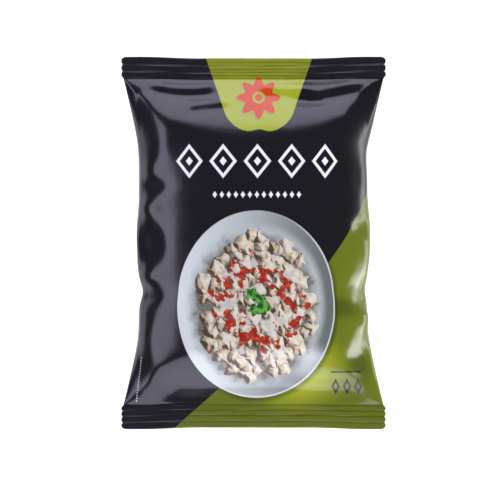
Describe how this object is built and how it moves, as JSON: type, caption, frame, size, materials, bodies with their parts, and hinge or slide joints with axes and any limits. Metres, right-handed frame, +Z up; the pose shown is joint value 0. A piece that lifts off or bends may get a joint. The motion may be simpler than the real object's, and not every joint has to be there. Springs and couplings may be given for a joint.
{
  "type": "sealed pillow pack of frozen dumplings",
  "caption": "Filled film pillow bag with crimped end seals and a folded back fin, lying on its back with the printed front panel up.",
  "frame": {"origin": "on the surface that the pack lies on, under the middle of its bounding box", "axes": "+Y towards the top end seal, +X to the right of the front panel as it is read, +Z up out of the front panel"},
  "size_m": [0.205, 0.289, 0.0504],
  "materials": {
    "printed_film": "dark printed packaging film with a satin gloss, olive green at the top and over one lower corner"
  },
  "bodies": {
    "root": {"dumpling_pack": "printed_film"}
  },
  "joints": []
}
